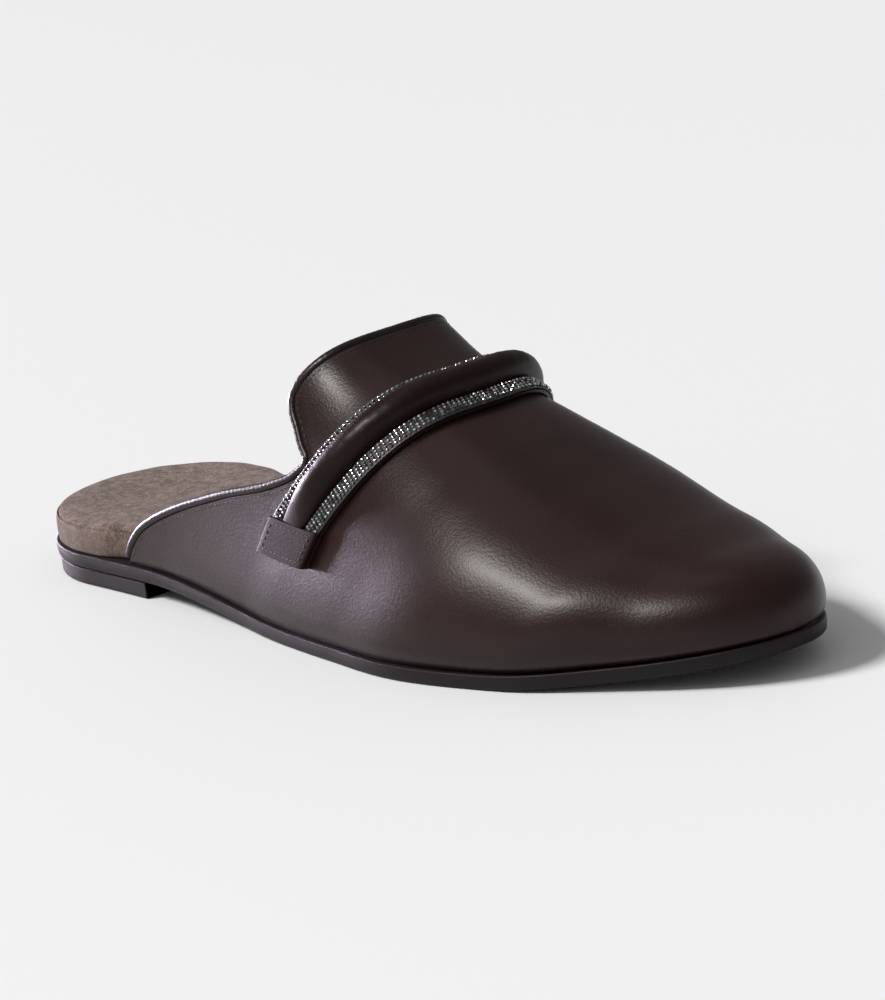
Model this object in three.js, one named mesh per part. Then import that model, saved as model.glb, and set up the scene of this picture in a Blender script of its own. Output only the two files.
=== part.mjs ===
// A backless leather slipper for the right foot, in millimetres.
// The heel is at x = 0 and the toe points along +X, +Z is up, and the outer side of the foot is at -Y.
import * as THREE from "three";

// Driving sizes of the sole and heel
const soleLength = 262;
const ballWidth = 87;
const soleThickness = 3.8;
const heelLift = 4.6;
const heelSeatLength = 60;
const heelTaper = 0.6;
const toeSpring = 6.5;
const toeSwing = 6.6;
const soleEdgeRound = 0.5;

// Driving sizes of the upper
const featherInset = 1.4;
const instepHeight = 54;
const wallThickness = 1.8;
const sideBulge = 1.6;
const bindingWidth = 2.3;
const bindingProud = 0.5;

// Driving sizes of the padded footbed
const footbedHeelThickness = 8.6;
const footbedToeThickness = 3.5;
const footbedHeelInset = 0.9;
const footbedCup = 1.3;

// Driving sizes of the strap across the instep
const strapRear = 104;
const strapWidth = 20.4;
const strapLean = 7.5;
const strapBaseThickness = 1.1;
const beadRowPitch = 1.55;
const beadHeight = 1.2;
const rearBeadRows = 3;
const frontBeadRows = 4;
const rollHeight = 5.2;
const rollEdgeHeight = 0.9;
const tabLength = 8.8;
const tabThickness = 1.2;
const tabClimb = 22.4;
const tabRake = 2.4;

const clearance = 0.3;

// Each row is a section of the last. "at" is the place of its foot as a share of the sole's length,
// "outer" and "inner" are its half widths as shares of the ball width, "lead" is how far its ridge lies ahead
// of its foot as a share of the sole's length, "rise" is the ridge's height as a share of the instep height,
// and "crown" is the power that rounds the section (smaller is squarer).
const lastSections = [
  { at: 0.0, outer: 0.36, inner: 0.36, lead: 0.19, rise: 1.75, crown: 0.45 },
  { at: 0.13, outer: 0.362, inner: 0.36, lead: 0.19, rise: 1.68, crown: 0.45 },
  { at: 0.25, outer: 0.372, inner: 0.352, lead: 0.189, rise: 1.47, crown: 0.45 },
  { at: 0.336, outer: 0.395, inner: 0.35, lead: 0.187, rise: 1.21, crown: 0.45 },
  { at: 0.4, outer: 0.418, inner: 0.362, lead: 0.176, rise: 1.1, crown: 0.55 },
  { at: 0.45, outer: 0.443, inner: 0.38, lead: 0.165, rise: 1.03, crown: 0.6 },
  { at: 0.56, outer: 0.494, inner: 0.425, lead: 0.143, rise: 0.86, crown: 0.64 },
  { at: 0.66, outer: 0.53, inner: 0.47, lead: 0.122, rise: 0.69, crown: 0.7 },
  { at: 0.78, outer: 0.477, inner: 0.45, lead: 0.09, rise: 0.51, crown: 0.82 },
  { at: 0.88, outer: 0.367, inner: 0.38, lead: 0.055, rise: 0.41, crown: 0.9 },
  { at: 1.0, outer: 0.29, inner: 0.3, lead: 0.02, rise: 0.39, crown: 0.9 },
];

// The edge of the upper's leather from the sole behind the quarter, over the neck, to the top of the tongue.
// "foot" is the section that a point lies in, as a share of the sole's length, and "up" its share of the ridge.
const quarterEdge = [
  { foot: 0.2055, up: 0.0 },
  { foot: 0.208, up: 0.045 },
  { foot: 0.2169, up: 0.109 },
  { foot: 0.2353, up: 0.163 },
  { foot: 0.2591, up: 0.217 },
  { foot: 0.2939, up: 0.301 },
  { foot: 0.3261, up: 0.39 },
  { foot: 0.37, up: 0.5 },
  { foot: 0.396, up: 0.59 },
  { foot: 0.4045, up: 0.66 },
];
const tongueEdge = [
  { foot: 0.4045, up: 0.66 },
  { foot: 0.398, up: 0.697 },
  { foot: 0.3809, up: 0.726 },
  { foot: 0.3643, up: 0.762 },
  { foot: 0.3475, up: 0.797 },
  { foot: 0.34, up: 0.83 },
  { foot: 0.338, up: 0.87 },
];
// The top of the tongue runs from corner to corner, and its middle lies this far ahead of them.
const tongueTopDip = 1.9;

const footAngle = 0.02;
const wallPower = 0.78;
const heelRoundShare = 0.13;
const heelRoundPower = 2.1;
const toeRoundShare = 0.2;
const toeRoundPower = 2.2;
const toeCapPower = 2.6;

// A smooth curve through the rows of a table, monotone between them.
function curveThrough(rows, key, column) {
  const x = rows.map((row) => row[key]);
  const y = rows.map((row) => row[column]);
  const slope = x.slice(1).map((value, i) => (y[i + 1] - y[i]) / (value - x[i]));
  const tangent = y.map((value, i) => {
    if (i === 0) return slope[0];
    if (i === y.length - 1) return slope[slope.length - 1];
    const before = slope[i - 1];
    const after = slope[i];
    return before * after <= 0 ? 0 : (2 * before * after) / (before + after);
  });
  return (value) => {
    let i = 0;
    while (i < x.length - 2 && value > x[i + 1]) i += 1;
    const step = x[i + 1] - x[i];
    const t = THREE.MathUtils.clamp((value - x[i]) / step, 0, 1);
    const t2 = t * t;
    const t3 = t2 * t;
    return (
      (2 * t3 - 3 * t2 + 1) * y[i] +
      (t3 - 2 * t2 + t) * step * tangent[i] +
      (3 * t2 - 2 * t3) * y[i + 1] +
      (t3 - t2) * step * tangent[i + 1]
    );
  };
}

const outerShare = curveThrough(lastSections, "at", "outer");
const innerShare = curveThrough(lastSections, "at", "inner");
const leadShare = curveThrough(lastSections, "at", "lead");
const riseShare = curveThrough(lastSections, "at", "rise");
const crownAt = curveThrough(lastSections, "at", "crown");

// How much of the full half width is left where the heel and the toe round off.
function endRound(share) {
  const heel = Math.max(0, 1 - share / heelRoundShare);
  const toe = Math.max(0, (share - 1 + toeRoundShare) / toeRoundShare);
  const heelPart = Math.max(0, 1 - heel ** heelRoundPower) ** (1 / heelRoundPower);
  const toePart = Math.max(0, 1 - toe ** toeRoundPower) ** (1 / toeRoundPower);
  return heelPart * toePart;
}

// The last's centre line swings inwards over the forefoot.
function centreLine(share) {
  return toeSwing * Math.max(0, (share - 0.45) / 0.55) ** 1.5;
}

// A point of the sole's outline on one side (-1 outer, +1 inner), moved inwards by an inset.
function outlinePoint(side, share, inset) {
  const step = 1e-3;
  const plain = (value) => {
    const half = side < 0 ? outerShare(value) : innerShare(value);
    return new THREE.Vector2(
      value * soleLength,
      centreLine(value) + side * half * ballWidth * endRound(value),
    );
  };
  const here = plain(share);
  if (inset === 0) return here;
  if (share < step) return new THREE.Vector2(here.x + inset, here.y);
  if (share > 1 - step) return new THREE.Vector2(here.x - inset, here.y);
  // Close to the ends the outline turns fast, so the tangent is taken over a step that follows it.
  const reach = Math.min(step, share / 2, (1 - share) / 2);
  const tangent = plain(share + reach).sub(plain(share - reach)).normalize();
  return here.add(new THREE.Vector2(tangent.y, -tangent.x).multiplyScalar(side * inset));
}

// Heights of the sole along its length: its underside rests on the floor at the ball.
const waistFrontShare = 0.5;
const springStartShare = 0.74;
function soleBottom(x) {
  const share = x / soleLength;
  const back = heelSeatLength / soleLength;
  const fall = THREE.MathUtils.clamp((waistFrontShare - share) / (waistFrontShare - back), 0, 1);
  const spring = Math.max(0, (share - springStartShare) / (1 - springStartShare));
  return heelLift * fall * fall * (3 - 2 * fall) + toeSpring * spring ** 1.8;
}
function soleTop(x) {
  return soleBottom(x) + soleThickness;
}

// The angle round a section at which the surface has climbed to a share of the ridge.
function angleAt(up) {
  return Math.asin(Math.min(1, up) ** (1 / wallPower));
}

// A point of the upper's outer surface. "share" names the section, and the angle runs from 0 at the outer
// feather edge over the ridge at a quarter turn to a half turn at the inner feather edge.
function upperPoint(share, angle) {
  const side = angle > Math.PI / 2 ? 1 : -1;
  const climb = angle > Math.PI / 2 ? Math.PI - angle : angle;
  const foot = outlinePoint(side, share, featherInset);
  const other = outlinePoint(-side, share, featherInset);
  const middle = new THREE.Vector2((foot.x + other.x) / 2, centreLine(share));
  const base = soleTop(middle.x) + clearance;
  const toe = Math.max(0, (share - 1 + toeRoundShare) / toeRoundShare);
  const ending = Math.max(0, 1 - toe ** toeCapPower) ** (1 / toeRoundPower);
  const height = riseShare(share) * instepHeight * ending;
  const ahead = leadShare(share) * soleLength * ending;
  const out = Math.max(0, Math.cos(climb)) ** crownAt(share);
  const up = Math.sin(climb) ** wallPower;
  const swell = sideBulge * 3.5 * Math.sqrt(up) * (1 - up) ** 2 * Math.min(1, height / 20);
  const reach = foot.clone().sub(middle);
  const grown = reach.length() > 1e-6 ? out + swell / reach.length() : out;
  return new THREE.Vector3(
    middle.x + reach.x * out + ahead * up + swell * Math.max(0, (share - 0.8) * 5) * 0.6,
    middle.y + reach.y * Math.min(grown, out + 0.15),
    base + (soleTop(foot.x) - soleTop(middle.x)) * out + height * up,
  );
}

// The outward normal of the upper's surface.
function upperNormal(share, angle) {
  if (share > 0.9995) return new THREE.Vector3(1, 0, 0);
  const ds = Math.min(1e-3, (1 - share) / 2);
  const da = 2e-3;
  const low = Math.max(0, angle - da);
  const high = Math.min(Math.PI, angle + da);
  const along = upperPoint(share + ds, angle).sub(upperPoint(share - ds, angle));
  const around = upperPoint(share, high).sub(upperPoint(share, low));
  const normal = along.cross(around).normalize();
  // The wall stands square on the sole, so its foot is cut along the sole's top.
  if (angle < footAngle || angle > Math.PI - footAngle) {
    const x = upperPoint(share, angle).x;
    normal.z = (normal.x * (soleTop(x - 1) - soleTop(x + 1))) / -2;
    normal.normalize();
  }
  return normal;
}

// A sheet is a set of patches in (section, angle) space, and "thicken" turns it into a closed solid between
// two offsets from the upper's surface. Offsets are read at the patch's own coordinates.
function thicken(patches, outerOffset, innerOffset) {
  const keys = new Map();
  const points = [];
  const faces = [];
  const vertex = (share, angle, u, v) => {
    const spot = upperPoint(share, angle);
    const key = [spot.x, spot.y, spot.z].map((value) => Math.round(value * 200)).join();
    if (!keys.has(key)) {
      keys.set(key, points.length);
      points.push({ spot, normal: upperNormal(share, angle), u, v });
    }
    return keys.get(key);
  };
  for (const { rows, columns, at } of patches) {
    const index = [];
    for (let i = 0; i <= rows; i += 1) {
      index.push([]);
      for (let j = 0; j <= columns; j += 1) {
        const [share, angle] = at(i / rows, j / columns);
        index[i].push(vertex(share, angle, i / rows, j / columns));
      }
    }
    for (let i = 0; i < rows; i += 1) {
      for (let j = 0; j < columns; j += 1) {
        const a = index[i][j];
        const b = index[i][j + 1];
        const c = index[i + 1][j + 1];
        const d = index[i + 1][j];
        for (const face of [[a, c, b], [a, d, c]]) {
          if (new Set(face).size === 3) faces.push(face);
        }
      }
    }
  }
  const count = points.length;
  const position = [];
  for (const offset of [outerOffset, innerOffset]) {
    for (const { spot, normal, u, v } of points) {
      position.push(...spot.clone().addScaledVector(normal, offset(u, v)).toArray());
    }
  }
  const edges = new Set();
  for (const [a, b, c] of faces) {
    for (const [from, to] of [[a, b], [b, c], [c, a]]) edges.add(from + ":" + to);
  }
  const index = [];
  for (const [a, b, c] of faces) {
    index.push(a, b, c, a + count, c + count, b + count);
    for (const [from, to] of [[a, b], [b, c], [c, a]]) {
      if (!edges.has(to + ":" + from)) {
        index.push(from, from + count, to + count, from, to + count, to);
      }
    }
  }
  return closedGeometry(position, index);
}

function closedGeometry(position, index) {
  const geometry = new THREE.BufferGeometry();
  geometry.setAttribute("position", new THREE.Float32BufferAttribute(position, 3));
  geometry.setIndex(index);
  geometry.computeVertexNormals();
  return geometry;
}

// A solid through a row of rings with the same number of points each, closed by a flat cap at each end.
function loft(rings) {
  const count = rings[0].length;
  const position = rings.flatMap((ring) => ring.flatMap((point) => point.toArray()));
  const index = [];
  for (let i = 0; i < rings.length - 1; i += 1) {
    for (let j = 0; j < count; j += 1) {
      const a = i * count + j;
      const b = i * count + ((j + 1) % count);
      index.push(a, b, b + count, a, b + count, a + count);
    }
  }
  const last = (rings.length - 1) * count;
  for (let j = 1; j < count - 1; j += 1) {
    index.push(0, j + 1, j, last, last + j, last + j + 1);
  }
  return closedGeometry(position, index);
}

// Shares of the length that crowd together at both ends, from one share to another.
function endCrowdedShares(from, to, count) {
  return Array.from({ length: count + 1 }, (_, i) => {
    const t = (1 - Math.cos((Math.PI * i) / count)) / 2;
    return from + (to - from) * t;
  });
}

const tipShare = 0.0009;

// A ring across the sole: the outline on both sides between two heights, with broken edges.
function soleRing(share, low, high, bottomInset) {
  const ring = [];
  const corner = (side, inset, height) => {
    const point = outlinePoint(side, share, inset);
    ring.push(new THREE.Vector3(point.x, point.y, height(point.x)));
  };
  for (const side of [-1, 1]) {
    const edges = [
      [bottomInset + soleEdgeRound, (x) => low(x)],
      [bottomInset, (x) => low(x) + soleEdgeRound],
      [0, (x) => high(x) - soleEdgeRound],
      [soleEdgeRound, (x) => high(x)],
    ];
    for (const [inset, height] of side < 0 ? edges.reverse() : edges) corner(side, inset, height);
  }
  return ring;
}

function outsole() {
  const shares = endCrowdedShares(tipShare, 1 - tipShare, 50);
  return loft(shares.map((share) => soleRing(share, soleBottom, soleTop, 0)));
}

function heel() {
  const shares = endCrowdedShares(tipShare, (2 * heelSeatLength) / soleLength - tipShare, 36);
  const back = shares.filter((share) => share * soleLength < heelSeatLength - 1);
  back.push(heelSeatLength / soleLength);
  const top = () => heelLift - clearance;
  return loft(back.map((share) => soleRing(share, () => 0, top, heelTaper)));
}

// The padded footbed fills the shoe from wall to wall, and its heel shows behind the upper.
function footbedInset(x) {
  const inside = featherInset + wallThickness + bindingProud + clearance;
  const step = THREE.MathUtils.smoothstep(x, heelSeatLength - 22, heelSeatLength - 8);
  return footbedHeelInset + (inside - footbedHeelInset) * step;
}
function footbedTop(x) {
  const fall = THREE.MathUtils.smoothstep(x, heelSeatLength, soleLength * 0.62);
  return soleTop(x) + footbedHeelThickness + (footbedToeThickness - footbedHeelThickness) * fall;
}
// The footbed's rows, from the middle of its underside over its rim to the middle of its top. "inset" moves a
// row in from the footbed's outline, "inward" takes it on towards the spine, and "up" is its share of height.
const footbedRows = [
  { inset: 0.3, inward: 1, up: 0 },
  { inset: 0.3, inward: 0, up: 0 },
  { inset: 0, inward: 0, up: 0.08 },
  { inset: 0, inward: 0, up: 0.62 },
  { inset: 0.5, inward: 0, up: 0.84 },
  { inset: 1.8, inward: 0, up: 0.97 },
  { inset: 3.6, inward: 0.02, up: 1 },
  { inset: 3.6, inward: 0.4, up: 1 },
  { inset: 3.6, inward: 1, up: 1 },
];
const spineEndShare = 0.3;
function footbed() {
  const sideSteps = 30;
  const spineEnd = ballWidth * spineEndShare;
  const stops = endCrowdedShares(0, 1, sideSteps);
  const around = [
    ...stops.slice(0, -1).map((share) => [-1, share]),
    ...stops.slice(1).reverse().map((share) => [1, share]),
  ];
  const rings = footbedRows.map(({ inset, inward, up }) =>
    around.map(([side, share]) => {
      const middle = THREE.MathUtils.clamp(share * soleLength, spineEnd, soleLength - spineEnd);
      const spine = new THREE.Vector2(middle, centreLine(middle / soleLength));
      const edge = outlinePoint(side, share, footbedInset(share * soleLength));
      const point = edge.clone().add(spine.clone().sub(edge).setLength(inset)).lerp(spine, inward);
      const low = soleTop(point.x) + clearance;
      const cup = footbedCup * THREE.MathUtils.smoothstep(inward, 0, 1);
      return new THREE.Vector3(point.x, point.y, low + (footbedTop(point.x) - low - cup) * up);
    }),
  );
  return weldedRings(rings);
}

// A closed surface over a row of closed rings, whose first and last rings are folded flat onto a line.
function weldedRings(rings) {
  const keys = new Map();
  const position = [];
  const vertex = (point) => {
    const key = point.toArray().map((value) => Math.round(value * 500)).join();
    if (!keys.has(key)) {
      keys.set(key, keys.size);
      position.push(...point.toArray());
    }
    return keys.get(key);
  };
  const index = [];
  for (let i = 0; i < rings.length - 1; i += 1) {
    for (let j = 0; j < rings[i].length; j += 1) {
      const next = (j + 1) % rings[i].length;
      const corners = [rings[i][j], rings[i][next], rings[i + 1][next], rings[i + 1][j]].map(vertex);
      for (const face of [[0, 1, 2], [0, 2, 3]]) {
        const [a, b, c] = face.map((corner) => corners[corner]);
        if (a !== b && b !== c && c !== a) index.push(a, b, c);
      }
    }
  }
  return closedGeometry(position, index);
}

// Points along an edge table, evenly stepped, with the table's own points as knots.
function edgeAt(table) {
  const rows = table.map((row, i) => ({ ...row, step: i / (table.length - 1) }));
  const foot = curveThrough(rows, "step", "foot");
  const up = curveThrough(rows, "step", "up");
  return (t) => ({ share: foot(t), angle: angleAt(up(t)) });
}
const quarterEdgeAt = edgeAt(quarterEdge);
const tongueEdgeAt = edgeAt(tongueEdge);
const neck = quarterEdgeAt(1);
function tongueTopDipAt(v) {
  return (tongueTopDip / soleLength) * Math.sin(Math.PI * v) ** 1.5;
}

const quarterRows = 20;
const quarterColumns = 7;
const tongueRows = 11;
const tongueColumns = 16;
const vampRows = 22;

function upperPatches() {
  const quarter = (mirror) => ({
    rows: quarterRows,
    columns: quarterColumns,
    at: (u, v) => {
      const edge = quarterEdgeAt(u);
      const angle = edge.angle * (mirror ? 1 - v : v);
      return [edge.share, mirror ? Math.PI - angle : angle];
    },
  });
  const tongue = {
    rows: tongueRows,
    columns: tongueColumns,
    at: (u, v) => {
      const edge = tongueEdgeAt(1 - u);
      const dip = tongueTopDipAt(v) * (1 - u) ** 2;
      return [edge.share + dip, edge.angle + (Math.PI - 2 * edge.angle) * v];
    },
  };
  const vampShare = (u) => neck.share + (1 - neck.share) * Math.sin((Math.PI / 2) * u);
  const vamp = (from, to, columns) => ({
    rows: vampRows,
    columns,
    at: (u, v) => [vampShare(u), from + (to - from) * v],
  });
  return [
    quarter(false),
    quarter(true),
    tongue,
    vamp(0, neck.angle, quarterColumns),
    vamp(neck.angle, Math.PI - neck.angle, tongueColumns),
    vamp(Math.PI - neck.angle, Math.PI, quarterColumns),
  ];
}

function upper() {
  return thicken(upperPatches(), () => 0, () => -wallThickness);
}

// The folded binding is a rounded cord swept along the leather's edge, from one side of the sole to the other.
function toplineBinding() {
  const start = 0.025;
  const half = [];
  const quarterSteps = 24;
  const tongueSteps = 12;
  const topSteps = 8;
  for (let i = 0; i <= quarterSteps; i += 1) {
    half.push(quarterEdgeAt(start + ((1 - start) * i) / quarterSteps));
  }
  for (let i = 1; i <= tongueSteps; i += 1) half.push(tongueEdgeAt(i / tongueSteps));
  const corner = tongueEdgeAt(1);
  for (let i = 1; i <= topSteps; i += 1) {
    const v = i / topSteps / 2;
    const angle = corner.angle + (Math.PI - 2 * corner.angle) * v;
    half.push({ share: corner.share + tongueTopDipAt(v), angle });
  }
  const other = half.slice(0, -1).reverse();
  const spots = [...half, ...other.map(({ share, angle }) => ({ share, angle: Math.PI - angle }))];
  const points = spots.map(({ share, angle }) => upperPoint(share, angle));
  const rings = points.map((point, i) => {
    const normal = upperNormal(spots[i].share, spots[i].angle);
    const next = points[Math.min(i + 1, points.length - 1)];
    const tangent = next.clone().sub(points[Math.max(i - 1, 0)]).normalize();
    const outwards = tangent.clone().cross(normal).normalize().negate();
    const middle = point
      .clone()
      .addScaledVector(outwards, clearance + bindingWidth / 2)
      .addScaledVector(normal, -wallThickness / 2);
    const across = bindingWidth / 2;
    const thick = wallThickness / 2 + bindingProud;
    return Array.from({ length: 6 }, (_, k) => {
      const turn = (Math.PI / 3) * (k + 0.5);
      const round = 1.06;
      return middle
        .clone()
        .addScaledVector(outwards, across * THREE.MathUtils.clamp(Math.cos(turn) * round, -1, 1))
        .addScaledVector(normal, thick * THREE.MathUtils.clamp(Math.sin(turn) * round, -1, 1));
    });
  });
  return loft(rings);
}

// The angle at which the strap has climbed to a height above the sole.
function strapAngle(across, height) {
  const share = (strapRear + strapWidth * across) / soleLength;
  return angleAt(height / (riseShare(share) * instepHeight));
}
function tabFoot(across) {
  return strapAngle(across, tabClimb - tabLength / 2);
}
function tabTop(across) {
  return strapAngle(across, tabClimb + tabLength / 2);
}
// The strap lies on the upper. "across" runs over its width from the rear edge. It leans forward on its way
// from the sole to the ridge, and the foot of each tab is raked forward again.
function strapShare(across, angle) {
  const climb = Math.min(angle, Math.PI - angle);
  const low = tabFoot(across);
  const high = tabTop(across);
  const rake = tabRake * THREE.MathUtils.clamp((high - climb) / (high - low), 0, 1);
  const lean = (strapLean * climb) / (Math.PI / 2);
  return (strapRear + strapWidth * across + lean + rake) / soleLength;
}
// A part of the strap between two shares of its width. "start" gives the angle of its outer end, and its
// inner end lies opposite, or at "end" where that is given.
function strapPatch(from, to, start, rows, columns, end) {
  return {
    rows,
    columns,
    at: (u, v) => {
      const across = from + (to - from) * u;
      const first = start(across);
      const last = end ? end(across) : Math.PI - first;
      const angle = first + (last - first) * v;
      return [strapShare(across, angle), angle];
    },
  };
}

const baseLow = clearance;
const baseHigh = baseLow + strapBaseThickness;
const upon = baseHigh + clearance;
const rearBandShare = (rearBeadRows * beadRowPitch) / strapWidth;
const frontBandShare = (frontBeadRows * beadRowPitch) / strapWidth;
const gapShare = clearance / strapWidth;
const rollTaperShare = 0.12;

function strapBase() {
  return thicken([strapPatch(0, 1, tabFoot, 3, 30)], () => baseHigh, () => baseLow);
}

const tabGapAngle = 0.015;
function aboveTab(across) {
  return tabTop(across) + tabGapAngle;
}
function beadBand(from, to, beadRows) {
  const patch = strapPatch(from, to, aboveTab, beadRows * 2, 28);
  const ridge = (u) => Math.abs(Math.sin(Math.PI * beadRows * u));
  return thicken([patch], (u) => upon + beadHeight * (0.4 + 0.6 * ridge(u)), () => upon);
}

function strapRoll() {
  const from = rearBandShare + gapShare;
  const to = 1 - frontBandShare - gapShare;
  const patch = strapPatch(from, to, aboveTab, 8, 30);
  const swell = (u, v) => {
    const ends = Math.min(1, Math.min(v, 1 - v) / rollTaperShare);
    const rise = Math.sqrt(Math.max(0, 1 - (2 * u - 1) ** 2));
    return rollEdgeHeight + (rollHeight - rollEdgeHeight) * rise * Math.sin((Math.PI / 2) * ends);
  };
  return thicken([patch], (u, v) => upon + swell(u, v), () => upon);
}

function strapTab(inner) {
  const opposite = (angle) => (across) => Math.PI - angle(across);
  const patch = inner
    ? strapPatch(0, 1, opposite(tabTop), 8, 6, opposite(tabFoot))
    : strapPatch(0, 1, tabFoot, 8, 6, tabTop);
  return thicken([patch], () => upon + tabThickness, () => upon);
}

const brownLeather = { color: 0x3a2826, roughness: 0.4, metalness: 0 };
const soleLeather = { color: 0x2e2428, roughness: 0.5, metalness: 0 };
const suede = { color: 0x86736a, roughness: 0.95, metalness: 0 };
const beads = { color: 0x35353a, roughness: 0.25, metalness: 0.8 };

const slipper = new THREE.Group();
function piece(name, geometry, finish) {
  const mesh = new THREE.Mesh(geometry, new THREE.MeshStandardMaterial(finish));
  mesh.name = name;
  slipper.add(mesh);
}

piece("outsole", outsole(), soleLeather);
piece("heel", heel(), soleLeather);
piece("footbed", footbed(), suede);
piece("upper", upper(), brownLeather);
piece("topline_binding", toplineBinding(), brownLeather);
piece("strap_base", strapBase(), brownLeather);
piece("strap_roll", strapRoll(), brownLeather);
piece("bead_band_rear", beadBand(gapShare, rearBandShare, rearBeadRows), beads);
piece("bead_band_front", beadBand(1 - frontBandShare, 1 - gapShare, frontBeadRows), beads);
piece("strap_tab_outer", strapTab(false), brownLeather);
piece("strap_tab_inner", strapTab(true), brownLeather);

// The origin is the middle of the footprint, on the floor.
const box = new THREE.Box3().setFromObject(slipper);
const middle = box.getCenter(new THREE.Vector3());
for (const mesh of slipper.children) mesh.geometry.translate(-middle.x, -middle.y, -box.min.z);

export default slipper;
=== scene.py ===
import math
import random

import bpy
import numpy as np
from mathutils import Matrix, Vector


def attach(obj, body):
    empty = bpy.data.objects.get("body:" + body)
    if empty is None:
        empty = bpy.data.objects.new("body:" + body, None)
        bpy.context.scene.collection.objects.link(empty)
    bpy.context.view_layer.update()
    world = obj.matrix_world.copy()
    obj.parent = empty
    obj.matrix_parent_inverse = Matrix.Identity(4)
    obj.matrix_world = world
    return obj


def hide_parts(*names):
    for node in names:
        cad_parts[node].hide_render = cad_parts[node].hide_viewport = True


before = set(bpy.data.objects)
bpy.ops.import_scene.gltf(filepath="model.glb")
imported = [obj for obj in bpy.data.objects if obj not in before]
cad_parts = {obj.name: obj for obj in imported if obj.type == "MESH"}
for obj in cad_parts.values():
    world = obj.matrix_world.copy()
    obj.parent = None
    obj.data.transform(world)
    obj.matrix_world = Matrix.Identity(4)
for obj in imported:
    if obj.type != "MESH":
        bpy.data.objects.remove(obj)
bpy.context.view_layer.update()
random.seed(7)
print("frame loaded")

# The last: the same shares of the named sizes that the model's source uses, in millimetres.
last = {
    "soleLength": 262.0,
    "ballWidth": 87.0,
    "soleThickness": 3.8,
    "heelLift": 4.6,
    "heelSeatLength": 60.0,
    "toeSpring": 6.5,
    "toeSwing": 6.6,
    "featherInset": 1.4,
    "instepHeight": 54.0,
    "wall": 1.8,
    "sideBulge": 1.6,
    "clearance": 0.3,
    "originX": 131.0,
    "originY": -0.908,
}
# Where along the sole each form starts or ends, and how quickly it bends.
lastForm = {
    "heelRound": 0.13, "heelPower": 2.1, "toeStart": 0.8, "toePower": 2.2, "toeDropPower": 2.6,
    "swingStart": 0.45, "swingPower": 1.5, "waistEnd": 0.5, "springStart": 0.74, "springPower": 1.8,
    "bulgeGain": 3.5, "bulgeHeight": 20, "bulgeLimit": 0.15, "toeBulge": 0.6,
}
lastSections = [
    # at, outer, inner, lead, rise, crown
    (0.0, 0.36, 0.36, 0.19, 1.75, 0.45),
    (0.13, 0.362, 0.36, 0.19, 1.68, 0.45),
    (0.25, 0.372, 0.352, 0.189, 1.47, 0.45),
    (0.336, 0.395, 0.35, 0.187, 1.21, 0.45),
    (0.4, 0.418, 0.362, 0.176, 1.1, 0.55),
    (0.45, 0.443, 0.38, 0.165, 1.03, 0.6),
    (0.56, 0.494, 0.425, 0.143, 0.86, 0.64),
    (0.66, 0.53, 0.47, 0.122, 0.69, 0.7),
    (0.78, 0.477, 0.45, 0.09, 0.51, 0.82),
    (0.88, 0.367, 0.38, 0.055, 0.41, 0.9),
    (1.0, 0.29, 0.3, 0.02, 0.39, 0.9),
]
quarterEdge = [
    (0.2055, 0.0), (0.208, 0.045), (0.2169, 0.109), (0.2353, 0.163), (0.2591, 0.217),
    (0.2939, 0.301), (0.3261, 0.39), (0.37, 0.5), (0.396, 0.59), (0.4045, 0.66),
]
tongueEdge = [
    (0.4045, 0.66), (0.398, 0.697), (0.3809, 0.726), (0.3643, 0.762),
    (0.3475, 0.797), (0.34, 0.83), (0.338, 0.87),
]
tongueTopDip = 1.9
wallPower = 0.78


def curveThrough(xs, ys):
    xs = list(xs)
    ys = list(ys)
    slopes = [(ys[i + 1] - ys[i]) / (xs[i + 1] - xs[i]) for i in range(len(xs) - 1)]
    tangents = [slopes[0]]
    for before, after in zip(slopes, slopes[1:]):
        tangents.append(0.0 if before * after <= 0 else 2 * before * after / (before + after))
    tangents.append(slopes[-1])

    def value(x):
        i = 0
        while i < len(xs) - 2 and x > xs[i + 1]:
            i += 1
        step = xs[i + 1] - xs[i]
        t = min(max((x - xs[i]) / step, 0.0), 1.0)
        t2 = t * t
        t3 = t2 * t
        return ((2 * t3 - 3 * t2 + 1) * ys[i] + (t3 - 2 * t2 + t) * step * tangents[i]
                + (3 * t2 - 2 * t3) * ys[i + 1] + (t3 - t2) * step * tangents[i + 1])
    return value


sectionAt = [row[0] for row in lastSections]
outerShare, innerShare, leadShare, riseShare, crownAt = [
    curveThrough(sectionAt, [row[k] for row in lastSections]) for k in range(1, 6)]


def smooth(x, low, high):
    t = min(max((x - low) / (high - low), 0.0), 1.0)
    return t * t * (3 - 2 * t)


def pastToe(share):
    return max(0.0, (share - lastForm["toeStart"]) / (1 - lastForm["toeStart"]))


# How far the outline closes in towards both ends.
def endRound(share):
    heel = max(0.0, 1 - share / lastForm["heelRound"])
    heelPower = lastForm["heelPower"]
    toePower = lastForm["toePower"]
    return (max(0.0, 1 - heel ** heelPower) ** (1 / heelPower)
            * max(0.0, 1 - pastToe(share) ** toePower) ** (1 / toePower))


def centreLine(share):
    start = lastForm["swingStart"]
    return last["toeSwing"] * max(0.0, (share - start) / (1 - start)) ** lastForm["swingPower"]


def plainOutline(side, share):
    half = outerShare(share) if side < 0 else innerShare(share)
    reach = half * last["ballWidth"] * endRound(share)
    return share * last["soleLength"], centreLine(share) + side * reach


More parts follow.
